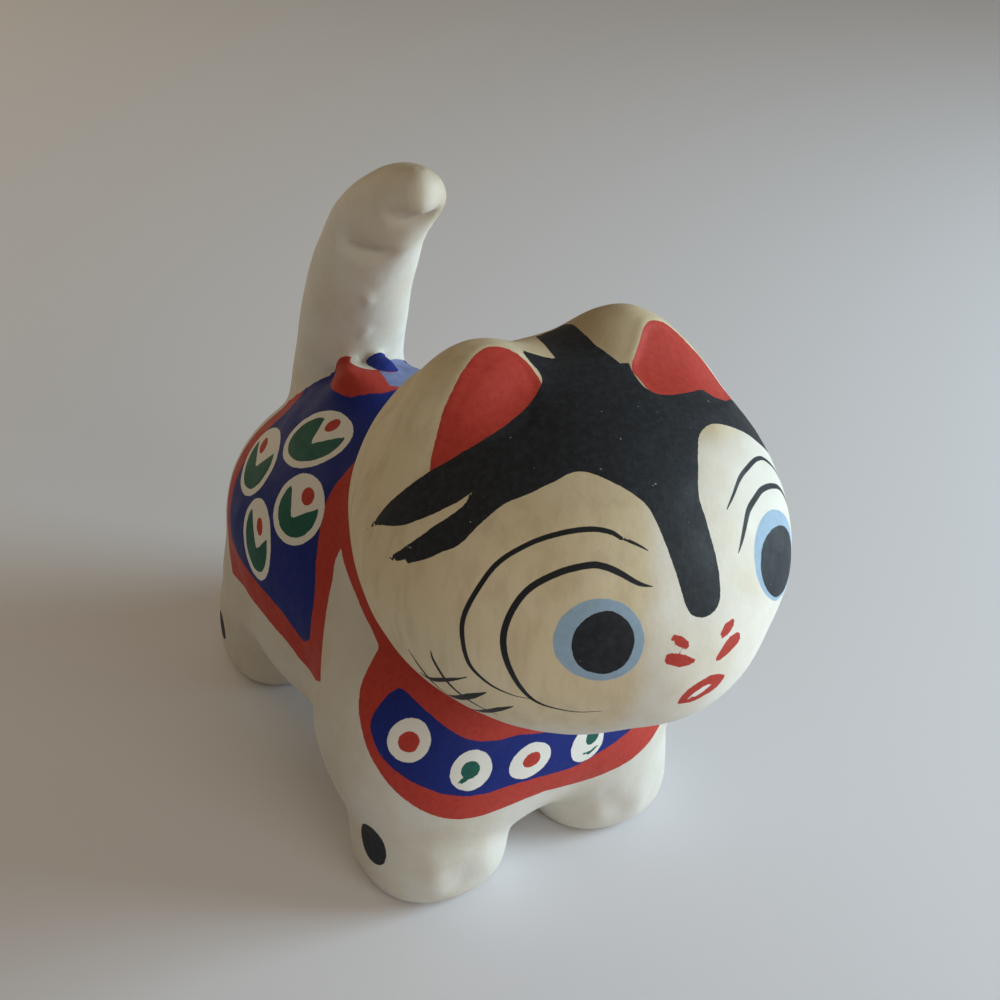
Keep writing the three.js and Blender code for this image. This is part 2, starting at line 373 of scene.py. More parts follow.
# Brush strokes are (line, half-widths spread evenly along it).
BROW_THICK = [0.1, 0.3, 0.46, 0.5, 0.48, 0.46, 0.44, 0.42, 0.4, 0.3, 0.16, 0.06]
INNER_THICK = [0.08, 0.42, 0.56, 0.58, 0.58, 0.58, 0.56, 0.56, 0.5, 0.4, 0.22, 0.14, 0.05]
OUTER_BROWS = [
    ([(-7.6, 0.9), (-8.9, 2.1), (-10.7, 3.5)], [0.08, 0.22, 0.3]),
    ([(-11.6, 4), (-13.3, 5.6), (-16.6, 6.9), (-21.7, 7.3), (-26.9, 6.6), (-32.3, 4.3), (-36, 0.4),
      (-39.3, -5.1), (-40.1, -10.2), (-39.3, -16.1), (-36.4, -20.5), (-32.6, -22.9), (-28.6, -23.8)],
     [0.34, 0.44, 0.5, 0.5, 0.46, 0.46, 0.46, 0.46, 0.44, 0.4, 0.3, 0.16, 0.06]),
    ([(10.7, 2.9), (13.6, 4.5), (18.1, 6.9), (22.5, 7.9), (27.7, 8.2), (32.3, 6.8), (36.5, 2.5), (39.5, -4),
      (40.2, -10), (39.3, -16), (36.4, -20.5), (32.6, -22.9), (28.6, -23.8)], BROW_THICK),
]
INNER_BROWS = [
    ([(-8.2, -4.8), (-10.6, -3.7), (-13.4, -1.3), (-15.6, 0.2), (-18, 1), (-22.9, 0.8), (-28, -1),
      (-31.2, -4.4), (-33, -8.9), (-32.9, -13.9), (-31.2, -19.7), (-28.3, -24.3), (-23.9, -26.8),
      (-20.5, -27.3), (-16.7, -26.2)], INNER_THICK),
    ([(9.8, -4.6), (11.7, -2.8), (14.6, -0.1), (16.8, 1.4), (20.5, 2.6), (23.7, 3), (28.1, 2.2),
      (32.1, 0.1), (34.4, -5), (34, -12), (31.6, -19.7), (28.3, -24.3), (23.9, -26.8), (20.5, -27.3),
      (16.7, -26.2)], INNER_THICK),
]
CHEEK_LONG = [
    ([(-53.7, -17.4), (-52.1, -22), (-50.2, -26.9), (-47.5, -32), (-44, -36)],
     [0.1, 0.34, 0.42, 0.4, 0.2]),
    ([(-47.2, -14.2), (-46.8, -18), (-44.4, -25), (-40.1, -30.2), (-34.8, -33.6)],
     [0.1, 0.34, 0.42, 0.38, 0.1]),
]
CHEEK_SHORT = [
    ([(-52.8, -27.6), (-49.7, -27.2), (-45.3, -23.4), (-40.3, -19.7)], [0.3, 0.8, 0.7, 0.1]),
    ([(-46.3, -34), (-43.6, -31.2), (-40.3, -26.9), (-36.9, -23.5)], [0.4, 1.0, 1.0, 0.1]),
    ([(-40.8, -38.4), (-37.3, -33.2), (-34.5, -29.4), (-32, -26.9)], [0.4, 0.9, 0.8, 0.1]),
]
ONE_SIDE, BOTH_SIDES = (1,), (1, -1)
STROKES = {  # strokes that cross are kept in fields of their own
    "outer": (OUTER_BROWS, ONE_SIDE),
    "inner": (INNER_BROWS, ONE_SIDE),
    "cheek": (CHEEK_LONG[:1], BOTH_SIDES),
    "cheek_b": (CHEEK_LONG[1:], BOTH_SIDES),
    "short": (CHEEK_SHORT, BOTH_SIDES),
}
NOSE_DABS = [
    ([(-6, -13.6), (-5, -14.3), (-4, -15.1)], [0.6, 0.85, 0.6]),
    ([(-7, -16.6), (-5.3, -17.3), (-3.1, -17.9)], [0.85, 1, 0.5]),
    ([(5.6, -14.6), (4.2, -15.1), (3.1, -15.7)], [0.6, 0.85, 0.5]),
    ([(6, -17.4), (4, -18), (1.8, -19)], [0.95, 1.05, 0.5]),
]
MOUTH = outline(
    [(-5.4, -25.1), (-4.8, -23.4), (-3.1, -22.1), (-1, -21.5), (1.2, -21.5), (3.7, -22.6)],
    [(3.7, -22.6), (2, -24.3), (-0.5, -25), (-2.7, -25.4), (-5.4, -25.1)],
)
TEETH = outline(
    [(-3.7, -24.5), (-2.6, -23.6), (-1, -23), (0.9, -22.9)],
    [(0.9, -22.9), (-1, -24), (-3.7, -24.5)],
)

# The cloth and its blue field, on the right side.
CLOTH_SIDE = [
    [(0, 56), (-14, 54.1), (-24.2, 55.5), (-32.8, 54), (-40, 50.6), (-48, 46.5), (-54.5, 42)],
    [(-54.5, 42), (-52.3, 32), (-51.6, 23), (-53, 14), (-54.4, 8), (-52.6, 1), (-49, -6)],
    [(-49, -6), (-46.3, -2.2), (-40.9, 0.9), (-33.6, 3.3), (-27.4, 4.6), (-14, 2), (0, 1)],
]
FIELD_SIDE = [
    [(0, 47), (-16.6, 47.4), (-25.4, 48.8), (-32.4, 47.2), (-39, 44.2), (-45.4, 40.6)],
    [(-45.4, 40.6), (-45.4, 32.5), (-45.4, 21.2), (-46.6, 14.8), (-48.8, 10.2), (-49.5, 7)],
    [(-49.5, 7), (-47.3, 4.4)],
    [(-47.3, 4.4), (-39.3, 5.4), (-32.5, 8.4), (-27, 11.7), (-21, 14.5), (-9, 15.5), (0, 15.5)],
]
# Each oval's middle, radii and tilt; the corner, direction and half-angle of the wedge that is cut out of
# its green leaf; the red dot's middle, radii and tilt.
OVALS = [
    ((-17.2, 28.2), (5.9, 8.8), 28, (-18.4, 28.2), -13, 36, (-13.4, 27.1), (1.7, 1.3), -35),
    ((-27.8, 41.1), (6.4, 8.6), -24, (-29.2, 39.8), 18, 50, (-25.5, 43.6), (1.3, 2.2), -28),
    ((-27.8, 19), (6.2, 7.4), -12, (-29.9, 18.9), 4, 47, (-24.9, 18.6), (1.5, 2), -15),
    ((-38, 26.6), (5.2, 8), -35, (-39.3, 25), 10, 46, (-35.6, 26.7), (1.0, 1.9), -32),
]
OVAL_RIM = (1.3, 1.5)  # the white left round the leaf, along each radius
BIB_OUTER = [
    (-42.4, 51), (-42, 46.5), (-40.1, 42.5), (-37.8, 39.3), (-35.5, 36.2), (-32.5, 32.7), (-29.1, 29.5),
    (-25.3, 26.7), (-21.5, 25), (-17.5, 24.4), (-11, 24.6), (-4.4, 24.2), (3.8, 22), (10.4, 21.7),
    (16.6, 22.9), (22.7, 26.2), (28, 30.5), (33, 35), (38, 40.5), (41.6, 46.5), (42.4, 51),
]
BIB_NECK = [(42.4, 51), (38, 58), (0, 64), (-38, 58), (-42.4, 51)]
BIB_FIELD = outline(
    [(-32.6, 47.6), (-34.6, 47.6), (-36.6, 44.9), (-37.1, 41.8), (-35.8, 39.3), (-33.6, 36.8),
     (-30.2, 34.6), (-26.3, 32.6), (-22.4, 31), (-17.6, 30), (-11.4, 30.2), (-5.1, 29.4), (2.1, 28.4),
     (7.6, 29.4), (12.2, 30.4), (19, 32.6), (26, 35.4), (33.6, 39.8), (37.3, 44.6), (34.7, 48.6)],
    [(34.7, 48.6), (30.6, 46.7), (26.8, 44.8), (22.5, 42.3), (18.9, 40.7), (10.3, 40), (5, 39.4),
     (-5, 39.2), (-10.3, 40.1), (-14.3, 40), (-18.9, 40.7), (-22.5, 42.3), (-26.8, 44.8), (-32.6, 47.6)],
)
# Each dot's middle, radii and tilt, then its coloured centre's middle and radii: red, green, red and so on.
BIB_DOTS = [
    ((-29.9, 40.6), (3.6, 3.6), 0, (-29.9, 40.4), (1.8, 1.7)),
    ((-19.2, 35.3), (3.5, 3.9), 0, (-19.4, 35.6), (1.6, 1.7)),
    ((-8.3, 34.3), (4.4, 3.5), 18, (-8.1, 34.5), (1.9, 1.5)),
    ((4.6, 33), (3.8, 4.3), -25, (5.8, 34.4), (1.5, 2)),
    ((16.6, 36.3), (3.9, 3.6), 20, (16.6, 36.3), (1.8, 1.6)),
    ((28.6, 40), (3.8, 3.6), 0, (28.6, 40), (1.7, 1.7)),
]
GREEN_SMEARS = [
    ([(-21.4, 33), (-20.6, 33.6), (-19.9, 34.4)], [0.25, 0.4, 0.6]),
    ([(3.4, 31.2), (5.2, 30.6), (7, 31.6)], [0.3, 0.4, 0.25]),
]
COLLAR = [(-25, 6), (-27.4, 4.6), (-31, -0.7), (-33.8, -6.8), (-35.7, -12.4), (-37.4, -15.6), (-41, -22)]
COLLAR_FRONT = [(-41, -22), (-30, -45), (0, -50), (30, -45), (41, -22)]
COLLAR_BACK = [(25, 6), (0, 8), (-25, 6)]
LEG_SPOTS = [((-25.6, 14.3), (4.7, 3.0), 74), ((52.6, 12), (3.6, 2.2), 80)]  # seen from the side: (y, z)
LEG_SPOTS_FROM = 22  # they are on the legs' outer faces, at least this far from the middle

# ---- where paint stops, mm; heights are over the ground ----
TAIL_MARGIN, HEAD_MARGIN = 0.7, 0.45  # how far the cloth's paint stays off the tail and the head
CLOTH_TOP, HEAD_ONLY = 78.5, 84  # no cloth is painted above the first, and all above the second is head
BELLY_HEIGHT, COLLAR_HEIGHT, YELLOWING_AND_SHADE_HEIGHT = 8, 46, 48  # the cloth, the collar, and the yellowing with its painted shade stay above these
DRUM_TOP_REACH = 6  # the drum's paint stops this far over its upper face


def wedge_cut(chart, corner, direction, half_angle):
    """How far a point is outside a wedge that opens from a corner."""
    a, h = math.radians(direction), math.radians(half_angle)
    to = chart - np.array(corner)
    along, across = to @ (math.cos(a), math.sin(a)), np.abs(to @ (-math.sin(a), math.cos(a)))
    return across * math.cos(h) - along * math.sin(h)


def union(*fields):
    return np.maximum.reduce(fields)


def shared(*fields):
    return np.minimum.reduce(fields)


def two_sided(runs):
    """The outline whose left half mirrors the given right half."""
    return outline(*runs, *[mirrored(run) for run in runs[::-1]])


class Places:
    """Where each vertex is, in every chart, and which parts its paint may reach."""

    def __init__(self, p):
        self.p, self.height = p, p[:, 2] - GROUND
        self.local = head_local(p)
        self.off_head = outside_head(self.local)
        self.face, self.girth, self.chest = face_chart(self.local), girth_chart(p), chest_chart(p)
        self.side = np.stack([p[:, 1], self.height], 1)
        self.off_tail = outside_tail(p) - TAIL_MARGIN
        self.body = shared(self.off_tail, self.off_head - HEAD_MARGIN, CLOTH_TOP - self.height)
        self.body = np.clip(self.body, -FAR, FAR)
        self.on_head = self.only((self.off_head < HEAD_MARGIN) | (self.height > HEAD_ONLY))

    def only(self, chosen):
        """A field that keeps paint to the chosen vertices."""
        return np.where(chosen, FAR, -FAR)


def drum_fields(at):
    """Where the drum is, its red wall and rim, the washed part of its top and its blue knob."""
    q = drum_local(at.p)
    outwards = np.hypot(q[:, 0] / DRUM_HALF_WIDTH, q[:, 1] / DRUM_HALF_DEPTH)
    beyond = DRUM_MEAN_RADIUS * (outwards - 1)
    on_drum = shared(np.where(q[:, 2] < DRUM_TOP_REACH, at.off_tail, -FAR), 0.7 - beyond)
    over_rim = 3.5 - 1.3 * np.clip(q[:, 1] / 3, -1, 1)  # the red comes over the rim, most in front
    red = shared(on_drum, q[:, 2] + DRUM_WALL, np.maximum(-0.7 - q[:, 2], beyond + over_rim))
    knob = shared(0.6 - outside_knob(q, 0.4), q[:, 2] - 0.4)
    beside_knob = shared(q[:, 0] + 2.2 + 0.5 * q[:, 2], at.off_tail, -knob)
    wash = shared(q[:, 2] + 1.4, 4 - q[:, 2], 6 - q[:, 1], 3 - beyond, beside_knob)
    return on_drum, red, wash, knob


def cloth_fields(at):
    """The red and the blue of saddle cloth, collar and bib."""
    above_belly = at.only(at.height > BELLY_HEIGHT)
    cloth = shared(inside(at.girth, two_sided(CLOTH_SIDE)), above_belly)
    field = shared(inside(at.girth, two_sided(FIELD_SIDE)), above_belly)
    collar = inside(at.girth, outline(COLLAR, COLLAR_FRONT, mirrored(COLLAR), COLLAR_BACK))
    collar = np.where(at.height > COLLAR_HEIGHT, collar, -FAR)
    bib = inside(at.chest, outline(BIB_OUTER, BIB_NECK))
    red = shared(union(cloth, bib, collar), at.body)
    blue = shared(union(field, inside(at.chest, BIB_FIELD)), at.body)
    return red, blue


def dot_fields(at):
    """The white, green and red of the cloth's ovals and the bib's dots."""
    whites, greens, reds = [], [], []
    for middle, radii, tilt, corner, direction, half_angle, dot, dot_radii, dot_tilt in OVALS:
        leaf_radii = (radii[0] - OVAL_RIM[0], radii[1] - OVAL_RIM[1])
        for flip in (1, -1):
            chart = at.girth * np.array([flip, 1])
            leaf = inside(chart, ring(middle, leaf_radii, tilt))
            whites.append(inside(chart, ring(middle, radii, tilt)))
            greens.append(shared(leaf, wedge_cut(chart, corner, direction, half_angle)))
            reds.append(inside(chart, ring(dot, dot_radii, dot_tilt)))
    for i, (middle, radii, tilt, centre, centre_radii) in enumerate(BIB_DOTS):
        whites.append(inside(at.chest, ring(middle, radii, tilt)))
        centres = greens if i % 2 else reds
        centres.append(inside(at.chest, ring(centre, centre_radii, tilt)))
    greens += [inside(at.chest, dab(*stroke)) for stroke in GREEN_SMEARS]
    return [shared(union(*fields), at.body) for fields in (whites, greens, reds)]


def black_field(at):
    """The mask, the pupils and the spots on the legs."""
    pupils = [inside(at.face, ring(*pupil)) for *_, pupil in EYES]
    on_legs = np.abs(at.p[:, 0]) > LEG_SPOTS_FROM
    spots = [np.where(on_legs, inside(at.side, ring(*spot)), -FAR) for spot in LEG_SPOTS]
    return union(shared(union(inside(at.face, MASK), *pupils), at.on_head), *spots)


def stroke_fields(at, strokes, flips):
    """Of one group of brush strokes, the nearest one's offset and half-width."""
    offset, width = np.full(len(at.p), FAR), np.full(len(at.p), -FAR)
    for points, widths in strokes:
        for flip in flips:
            new_offset, new_width = brushed(at.face * np.array([flip, 1]), points, widths)
            better = new_width - np.abs(new_offset) > width - np.abs(offset)
            offset, width = np.where(better, new_offset, offset), np.where(better, new_width, width)
    return offset, shared(width, at.on_head)


def age_and_shade_fields(at):
    """Where the coat has yellowed, with painted shade on the side away from the window and on the crown;
    painted shade beside the left ear; darker towards the bottom; each from 0 to 1.
    """
    x, y, z = at.local.T
    # the side away from the window and the crown: yellowing, with painted shade
    shaded_near_side = smooth_step(x - 0.5 * y, 12, 2)
    crown = smooth_step(z, 17, 26) * smooth_step(y, -18, -8)
    aged_and_shaded = union(smooth_step(z - 0.5 * x, -22, 10) * shaded_near_side, crown)
    above_body = (at.height > YELLOWING_AND_SHADE_HEIGHT) & (at.off_head < 6)
    return {
        "aged_and_shaded": np.where(above_body, aged_and_shaded, 0),
        # painted shade in the hollow beside the left ear, on the crown
        "shade_beside_ear": crown * smooth_step(x, -2, 4) * smooth_step(x, 19, 13),
        # darker towards the bottom
        "darker_low_down": smooth_step(at.height, 74, 52),
    }


def painted_fields(p):
    """Every painted edge as a field over the shell's vertices."""
    at = Places(p)
    on_drum, drum_red, wash, knob = drum_fields(at)
    cloth_red, cloth_blue = cloth_fields(at)
    ears = union(inside(at.face, EAR_RED_RIGHT), inside(at.face, EAR_RED_LEFT))
    marks = [inside(at.face, dab(*stroke)) for stroke in NOSE_DABS]
    mouth = shared(union(inside(at.face, MOUTH), *marks), at.on_head)
    iris = shared(union(*[inside(at.face, ring(*disc)) for *disc, _ in EYES]), at.on_head)
    white, green, dot = dot_fields(at)
    fields = {
        "ears": ears,
        "red": union(ears, mouth, shared(cloth_red, -on_drum), drum_red),
        "blue": union(shared(cloth_blue, 0.5 - drum_red), knob),
        "wash": wash,
        "pale_blue": iris,
        "white": union(white, shared(inside(at.face, TEETH), at.on_head)),
        "green": green,
        "dot": dot,
        "black": black_field(at),
        **age_and_shade_fields(at),
    }
    for name, (strokes, flips) in STROKES.items():
        fields[name + "_offset"], fields[name + "_width"] = stroke_fields(at, strokes, flips)
    return fields


# ---- relief ----
LUMPS = [(0.34, 19, 1), (0.13, 7.5, 2), (0.035, 2.6, 4)]  # height, wavelength, seed
TAIL_LUMPS = (0.4, 11, 3)
EAR_BEAD, EAR_BEAD_WIDTH, EAR_HOLLOW = 0.25, 1.0, 0.25
BASE_MIDDLE = np.array([0, FRONT + 73.7, GROUND])
FOLDS = [  # start, end, width, height: ridges and dents pinched into the paper, from the base's middle
    ((-6.5, 20.8, 117.2), (3.5, 12.2, 119.2), 2.0, -1.8),  # under the tail's tip
    ((-10.6, 34.6, 109.6), (-2.6, 22.4, 107.6), 2.4, -1.6),  # across the tail's bend
    ((-0.5, 20.5, 130), (-2.2, 12.4, 118.5), 2.4, 0.7),  # the edge of its blunt end
    ((-30, -29.5, 110), (-7, -29.5, 112.8), 6.5, 1.7),  # the ears' peaks
    ((18, -24, 114.3), (21, -25.5, 114), 5, 0.7),
    ((23, -61, 88.5), (20.5, -64, 83), 8, 0.9),  # the fullness under the left eye
    ((-4.2, 32.4, 97), (-4, 32.5, 95.6), 1.1, 0.45),
    ((-3, 34.9, 87.6), (-3.9, 35.3, 86.6), 1.0, 0.4),
    ((-27, -35.5, 17), (-25.8, -35.5, 2), 2.6, 0.5),  # the forefeet's pinched corners
    ((-22.5, -37, 13), (-20.6, -37, 3), 2.8, -0.45),
    ((-17.3, -37.4, 16), (-12.4, -35.5, 2), 2.6, 0.5),
    ((8, -37, 17), (14, -34.6, 1), 2.6, 0.45),
    ((11, -36.5, 13), (17.5, -37, 5), 2.8, -0.4),
    ((21.5, -37, 13), (20, -37, 1), 2.6, 0.45),
    ((-25, 51, 14), (-28, 41, 3), 2.5, 0.5),
    ((24, 52, 16), (27, 40, 2), 2.5, 0.5),
    ((-33, -26.5, 96), (-27.5, -31, 105.5), 0.5, -0.14),  # a dent in the temple
]


def folded(p, start, end, width, height):
    """The rise of one fold, which fades out towards its ends if it is a long one."""
    run = end - start
    along = np.clip((p - start) @ run / (run @ run), 0, 1)
    off = np.linalg.norm(p - start - along[:, None] * run, axis=1)
    if np.linalg.norm(run) > 2 * width:
        height = height * (1 - (2 * along - 1) ** 2)
    return height * np.exp(-(off / width) ** 2)


def lumps(p, size, seed):
    """Smooth noise of one wavelength, -1 to 1."""
    shift = Vector((seed * 7.3, seed * 3.1, seed * 5.7))
    return np.array([noise.noise(Vector(q) / size + shift) for q in p])


def worked_surface(mesh, p, fields):
    """The unevenness of paper pressed over a mould, the ears' lips and the small folds."""
    normals = normals_of(mesh, p)
    tail = smooth_step(p[:, 2], GROUND + 78, GROUND + 92)
    tail *= smooth_step(p[:, 1] - HEAD_MIDDLE[1], 40, 48)
    rise = tail * TAIL_LUMPS[0] * lumps(p, *TAIL_LUMPS[1:])
    for height, size, seed in LUMPS:
        rise += height * lumps(p, size, seed)
    ears = fields["ears"]
    bare = smooth_step(fields["black"], -0.2, -1.2) * smooth_step(np.abs(p[:, 0]), 26, 14)
    rise += bare * EAR_BEAD * np.exp(-((ears + 0.6) / EAR_BEAD_WIDTH) ** 2)
    rise -= EAR_HOLLOW * smooth_step(ears, 0.0, 1.8)
    for start, end, width, height in FOLDS:
        rise += folded(p - BASE_MIDDLE, np.array(start), np.array(end), width, height)
    off_soles = smooth_step(p[:, 2], GROUND + 0.2, GROUND + 3)
    return p + normals * (rise * off_soles)[:, None]


def build_shell():
    """The shell with its relief, and the fields that its paint follows."""
    shell = remeshed_shell()
    mesh = shell.data
    co = np.zeros(len(mesh.vertices) * 3, np.float32)
    mesh.vertices.foreach_get("co", co)
    pairs = np.zeros(len(mesh.edges) * 2, np.int32)
    mesh.edges.foreach_get("vertices", pairs)
    edges = pairs.reshape(-1, 2)
    p = relaxed(mesh, co.reshape(-1, 3).astype(float) / MM, edges)
    fields = painted_fields(p)
    p = np.clip(worked_surface(mesh, p, fields), low, high)
    normals = normals_of(mesh, p)
    fields["hollow"] = ((smoothed(p, edges, HOLLOW_ROUNDS, 1) - p) * normals).sum(1)
    # dust, and painted shade: faces that look upwards are darker
    fields["dust_and_top_shade"] = smooth_step(normals[:, 2], 0.5, 0.95)
    for name, values in fields.items():
        layer = mesh.attributes.new(name, "FLOAT", "POINT")
        layer.data.foreach_set("value", values.astype(np.float32))
    mesh.shade_smooth()
    return shell


# ---- the painted finish ----
class Nodes:
    """Short calls for building a node tree."""

    def __init__(self, material):
        material.use_nodes = True
        self.tree = material.node_tree
        self.shader = self.tree.nodes["Principled BSDF"]
        self.place = self.tree.nodes.new("ShaderNodeTexCoord").outputs["Object"]

    def link(self, source, socket):
        """Joins an output to a socket, or sets the socket to a constant."""
        if isinstance(source, (int, float, tuple)):
            socket.default_value = source
        else:
            self.tree.links.new(source, socket)

    def field(self, name):
        node = self.tree.nodes.new("ShaderNodeAttribute")
        node.attribute_name = name
        return node.outputs["Fac"]

    def math(self, operation, a, b=0.0):
        node = self.tree.nodes.new("ShaderNodeMath")
        node.operation = operation
        self.link(a, node.inputs[0])
        self.link(b, node.inputs[1])
        return node.outputs[0]

    def plus(self, a, b):
        return self.math("ADD", a, b)

    def times(self, a, b):
        return self.math("MULTIPLY", a, b)

    def swing(self, value, size):
        """A noise value made to swing about zero."""
        return self.times(self.math("SUBTRACT", value, 0.5), size)

    def noise(self, size, detail=2.0, roughness=0.5, seed=0.0, stretch=None):
        """Noise with a wavelength in mm."""
        place = self.place
        if stretch or seed:
            mapping = self.tree.nodes.new("ShaderNodeMapping")
            self.link(place, mapping.inputs["Vector"])
            mapping.inputs["Location"].default_value = (seed, seed * 0.7, -seed)
            mapping.inputs["Scale"].default_value = stretch or (1, 1, 1)
            place = mapping.outputs[0]
        node = self.tree.nodes.new("ShaderNodeTexNoise")
        self.link(place, node.inputs["Vector"])
        node.inputs["Scale"].default_value = 1 / (size * MM)
        node.inputs["Detail"].default_value = detail
        node.inputs["Roughness"].default_value = roughness
        return node.outputs["Fac"]

    def ramp(self, value, start, end, low_value=0.0, high_value=1.0):
        node = self.tree.nodes.new("ShaderNodeMapRange")
        node.interpolation_type = "SMOOTHSTEP"
        numbers = {"From Min": start, "From Max": end, "To Min": low_value, "To Max": high_value}
        for name, number in numbers.items():
            node.inputs[name].default_value = number
        self.link(value, node.inputs["Value"])
        return node.outputs["Result"]

    def mix(self, share, a, b):
        node = self.tree.nodes.new("ShaderNodeMix")
        node.data_type = "RGBA"
        self.link(share, node.inputs[0])
        self.link(a, node.inputs[6])
        self.link(b, node.inputs[7])
        return node.outputs[2]


# the dark brown darkens the hollows and the lower parts, and colours the dirt specks
WHITE, WHITE_WARM, DARK_BROWN = (0.79, 0.77, 0.71, 1), (0.68, 0.60, 0.45, 1), (0.16, 0.13, 0.10, 1)
INK, INK_WORN = (0.013, 0.015, 0.019, 1), (0.034, 0.042, 0.058, 1)
RED, RED_DEEP = (0.48, 0.048, 0.032, 1), (0.33, 0.022, 0.018, 1)
BLUE, BLUE_DEEP = (0.006, 0.020, 0.20, 1), (0.005, 0.010, 0.09, 1)
GREEN, GREEN_DEEP = (0.012, 0.115, 0.085, 1), (0.008, 0.06, 0.05, 1)
PALE_BLUE, PALE_BLUE_DEEP = (0.33, 0.47, 0.62, 1), (0.25, 0.37, 0.50, 1)
WASH, WASH_DEEP = (0.20, 0.24, 0.42, 1), (0.11, 0.14, 0.34, 1)
DABBED = (0.80, 0.79, 0.74, 1)
# the yellowed white also paints the shade on the side away from the window and on the crown; the brown
# colours stains and wrinkles, and paints the shade on upward faces and beside the left ear
AGED_AND_SHADED, STAIN_AND_SHADE, CHIPPED = (0.74, 0.61, 0.37, 1), (0.42, 0.32, 0.19, 1), (0.3, 0.3, 0.3, 1)
PAINTS = [  # field, colour, colour where the brush left it thick; each covers the ones before it
    ("red", RED, RED_DEEP),
    ("blue", BLUE, BLUE_DEEP),
    ("wash", WASH, WASH_DEEP),
    ("pale_blue", PALE_BLUE, PALE_BLUE_DEEP),
    ("white", DABBED, WHITE),
    ("green", GREEN, GREEN_DEEP),
    ("dot", RED, RED_DEEP),
    ("black", INK, INK_WORN),
]
PAINT_EDGE, LINE_EDGE = 0.06, 0.07  # half the width over which an edge of paint fades, mm


def aged_and_shaded_white(n):
    """The chalk coat: warm blotches, darker hollows, yellowing with painted shade on the side away from the
    window and on the crown, wrinkles, dust with painted shade on upward faces, painted shade beside the
    left ear, and darker towards the bottom.
    """
    blotch = n.ramp(n.noise(16, 4, 0.6, seed=0.05), 0.38, 0.66)
    mottle = n.ramp(n.noise(4.5, 4, 0.65, seed=0.11), 0.42, 0.7)
    colour = n.mix(n.times(blotch, 0.5), WHITE, WHITE_WARM)
    colour = n.mix(n.times(mottle, 0.16), colour, WHITE_WARM)
    # the hollows are darkened
    hollow = n.ramp(n.field("hollow"), 0.06, 0.5)
    colour = n.mix(n.times(hollow, 0.45), colour, DARK_BROWN)
    # yellowing, with painted shade on the side away from the window and on the crown
    uneven = n.times(n.noise(12, 3, 0.6, seed=0.37), 0.5)
    aged_and_shaded = n.ramp(n.plus(n.field("aged_and_shaded"), uneven), 0.35, 1.1)
    colour = n.mix(n.times(aged_and_shaded, 0.72), colour, AGED_AND_SHADED)
    wrinkle = n.ramp(n.noise(3.0, 4, 0.6, seed=0.47, stretch=(1, 1, 0.22)), 0.40, 0.72)
    colour = n.mix(n.times(n.times(wrinkle, aged_and_shaded), 0.28), colour, STAIN_AND_SHADE)
    # dust with painted shade on upward faces, and painted shade beside the left ear
    dust_and_top_shade = n.plus(n.times(n.field("dust_and_top_shade"), 0.3), n.times(n.field("shade_beside_ear"), 0.6))
    colour = n.mix(dust_and_top_shade, colour, STAIN_AND_SHADE)
    # darker towards the bottom
    return n.mix(n.times(n.field("darker_low_down"), 0.16), colour, DARK_BROWN)


def brushed_paint(n, colour):
    """Adds the areas of paint, and returns the colour and each paint's cover."""
    wobble = n.plus(n.swing(n.noise(3.2, 2), 0.35), n.swing(n.noise(0.7, 2, seed=0.31), 0.22))
    streak = n.ramp(n.noise(1.1, 3, 0.6, seed=0.23), 0.35, 0.75)
    coats = {}
    for name, fresh, deep in PAINTS:
        coats[name] = n.ramp(n.plus(n.field(name), wobble), -PAINT_EDGE, PAINT_EDGE)
        colour = n.mix(coats[name], colour, n.mix(n.times(streak, 0.45), fresh, deep))
    return colour, coats


def brushed_lines(n, colour):
    """Adds the brows and the cheek hatching."""
    shake = n.swing(n.noise(0.7, 1, seed=0.17), 0.07)
    for name in STROKES:
        gap = n.math("SUBTRACT", n.field(name + "_width"), n.math("ABSOLUTE", n.field(name + "_offset")))
        colour = n.mix(n.ramp(n.plus(gap, shake), -LINE_EDGE, LINE_EDGE), colour, INK)
    return colour


def worn(n, colour, black):
    """Adds dirt specks over everything and chips in the black."""
    specks = n.ramp(n.noise(1.3, 3, 0.7, seed=0.41), 0.70, 0.76)
    patches = n.ramp(n.noise(14, 2, seed=0.53), 0.5, 0.66)
    colour = n.mix(n.times(n.times(specks, patches), 0.4), colour, DARK_BROWN)
    chips = n.ramp(n.noise(1.0, 2, 0.5, seed=0.61), 0.745, 0.77)
    return n.mix(n.times(chips, black), colour, CHIPPED)


def surface_bump(n, coats):
    """The paper's grain, and the step up to the thicker coats."""
    coat = n.math("MAXIMUM", coats["red"], n.math("MAXIMUM", coats["black"], coats["pale_blue"]))
    fine, coarse = n.noise(0.8, 4, 0.6, seed=0.8), n.noise(2.6, 2, 0.5, seed=0.9)
    grain = n.plus(n.times(fine, 0.6), n.times(coarse, 0.8))
    bump = n.tree.nodes.new("ShaderNodeBump")
    bump.inputs["Strength"].default_value = 0.55
    bump.inputs["Distance"].default_value = 0.12 * MM
    n.link(n.plus(grain, n.times(coat, 0.35)), bump.inputs["Height"])
    n.link(bump.outputs[0], n.shader.inputs["Normal"])


def painted_finish():
    material = bpy.data.materials.new("painted_papier_mache")
    n = Nodes(material)
    colour, coats = brushed_paint(n, aged_and_shaded_white(n))
    colour = worn(n, brushed_lines(n, colour), coats["black"])
    n.link(colour, n.shader.inputs["Base Color"])
    roughness = n.ramp(n.noise(5, 3, 0.6, seed=0.7), 0.3, 0.7, 0.52, 0.66)
    n.link(roughness, n.shader.inputs["Roughness"])
    n.shader.inputs["Specular IOR Level"].default_value = 0.25
    surface_bump(n, coats)
    return material


